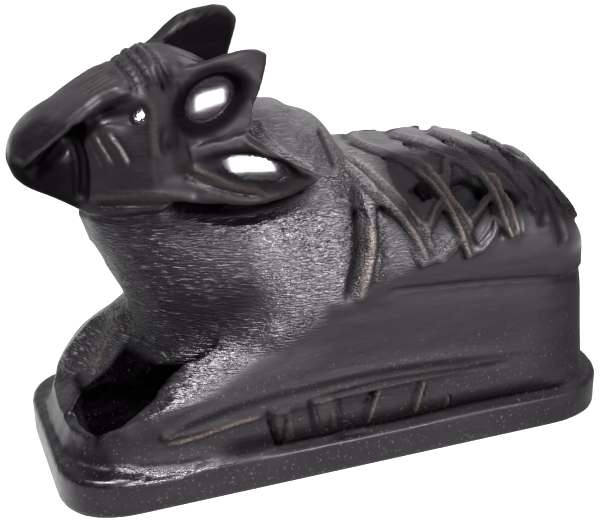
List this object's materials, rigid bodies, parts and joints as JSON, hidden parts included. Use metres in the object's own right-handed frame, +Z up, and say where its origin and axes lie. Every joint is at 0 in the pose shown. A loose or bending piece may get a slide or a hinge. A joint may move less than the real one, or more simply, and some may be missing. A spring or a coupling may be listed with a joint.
{
  "type": "carved bull figurine",
  "caption": "Small carved bull lying on a flat plinth, with a harnessed head, hollow ears and horns and a netted saddle cloth; a shelf ornament that stands by its own weight.",
  "frame": {"origin": "centre of the plinth's underside, on the ground", "axes": "-X is where the bull faces, +Z is up, and the flank seen in the picture faces -Y"},
  "size_m": [0.0646, 0.028, 0.0469],
  "materials": {
    "black_wood": "near-black hardwood, waxed to a satin sheen, with fine file marks"
  },
  "bodies": {
    "root": {"nandi_bull": "black_wood"}
  },
  "joints": []
}
